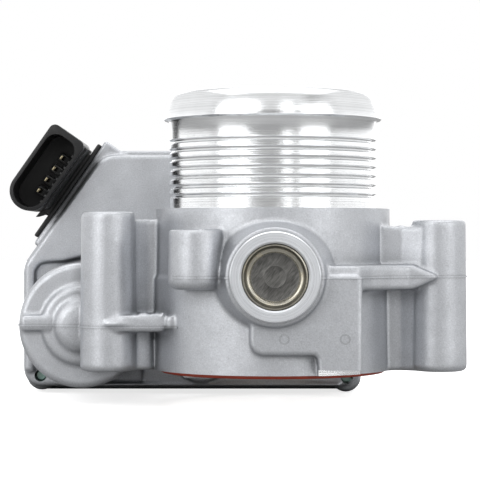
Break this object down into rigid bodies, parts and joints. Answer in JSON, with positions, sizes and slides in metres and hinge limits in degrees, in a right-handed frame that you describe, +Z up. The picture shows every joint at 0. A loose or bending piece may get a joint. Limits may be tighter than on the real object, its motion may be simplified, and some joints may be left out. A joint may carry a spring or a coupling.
{
  "type": "throttle body",
  "caption": "Motor-driven throttle body: cast housing with a grooved hose spigot, bolt-on flange, butterfly plate on a plugged shaft, gear case and slanted connector.",
  "frame": {"origin": "the air bore's axis where it meets the flange face that bolts to the manifold", "axes": "+Z up the air bore towards the hose spigot, throttle shaft along Y with its plugged end at -Y and the gear case at +Y, motor and connector on the -X side"},
  "size_m": [0.1493, 0.112, 0.0995],
  "materials": {
    "cast_aluminium": "satin, as cast",
    "silicone_rubber": "matte",
    "yellow_zinc": "zinc plated",
    "bearing_steel": "ground",
    "black_rubber": "matte",
    "ground_steel": "ground",
    "plate_brass": "satin",
    "zinc_screw": "zinc plated",
    "green_zinc": "passivated zinc",
    "gear_plastic": "moulded",
    "black_plastic": "moulded",
    "magnet": "sintered",
    "spring_steel": "oil tempered",
    "drawn_steel": "zinc plated",
    "carbon": "pressed",
    "bronze": "sintered",
    "core_steel": "laminated",
    "copper": "enamelled",
    "pinion_brass": "machined",
    "tin_plate": "plated",
    "board_laminate": "solder resist",
    "chip_plastic": "moulded"
  },
  "bodies": {
    "housing": {"throttle_housing": "cast_aluminium", "flange_seal": "silicone_rubber", "shaft_end_plug": "yellow_zinc", "front_bearing_outer_race": "bearing_steel", "front_bearing_balls": "bearing_steel", "rear_bearing_outer_race": "bearing_steel", "rear_bearing_balls": "bearing_steel", "front_shaft_seal": "black_rubber", "rear_shaft_seal": "black_rubber", "return_spring": "spring_steel", "intermediate_axle": "ground_steel", "motor_can": "drawn_steel", "motor_magnets": "magnet", "motor_mount_plate": "drawn_steel", "motor_screws": "zinc_screw", "brush_holder": "black_plastic", "motor_brushes": "carbon", "motor_rear_bush": "bronze", "motor_front_bush": "bronze", "gear_case_cover": "cast_aluminium", "cover_gasket": "black_rubber", "cover_screws": "green_zinc", "connector_housing": "black_plastic", "connector_pins": "tin_plate", "connector_seal": "silicone_rubber", "control_board": "board_laminate", "board_chips": "chip_plastic", "board_screws": "zinc_screw", "motor_terminals": "tin_plate"},
    "throttle": {"throttle_shaft": "ground_steel", "throttle_plate": "plate_brass", "plate_screws": "zinc_screw", "throttle_gear": "gear_plastic", "spring_guide": "black_plastic", "sensor_magnet": "magnet", "front_bearing_inner_race": "bearing_steel", "rear_bearing_inner_race": "bearing_steel"},
    "intermediate": {"intermediate_gear": "gear_plastic"},
    "rotor": {"motor_shaft": "ground_steel", "armature_core": "core_steel", "armature_winding": "copper", "commutator": "copper", "motor_pinion": "pinion_brass"}
  },
  "joints": [
    {"name": "throttle_turn", "type": "hinge", "parent": "housing", "child": "throttle", "pos_m": [0, 0, 0.03], "axis": [0, -1, 0], "range_deg": [0, 85], "stiffness_Nm_per_rad": 0.1, "springref_deg": -45.84, "deforming": ["return_spring"]},
    {"name": "intermediate_turn", "type": "hinge", "parent": "housing", "child": "intermediate", "pos_m": [-0.0358, 0, 0.02624], "axis": [0, -1, 0], "range_deg": [-353, 0]},
    {"name": "rotor_turn", "type": "hinge", "parent": "housing", "child": "rotor", "pos_m": [-0.06097, 0, 0.01396], "axis": [0, -1, 0], "range_deg": [0, 1410]}
  ],
  "couplings": [
    {"joint": "intermediate_turn", "follows": "throttle_turn", "ratio": -4.1429},
    {"joint": "rotor_turn", "follows": "throttle_turn", "ratio": 16.571}
  ]
}
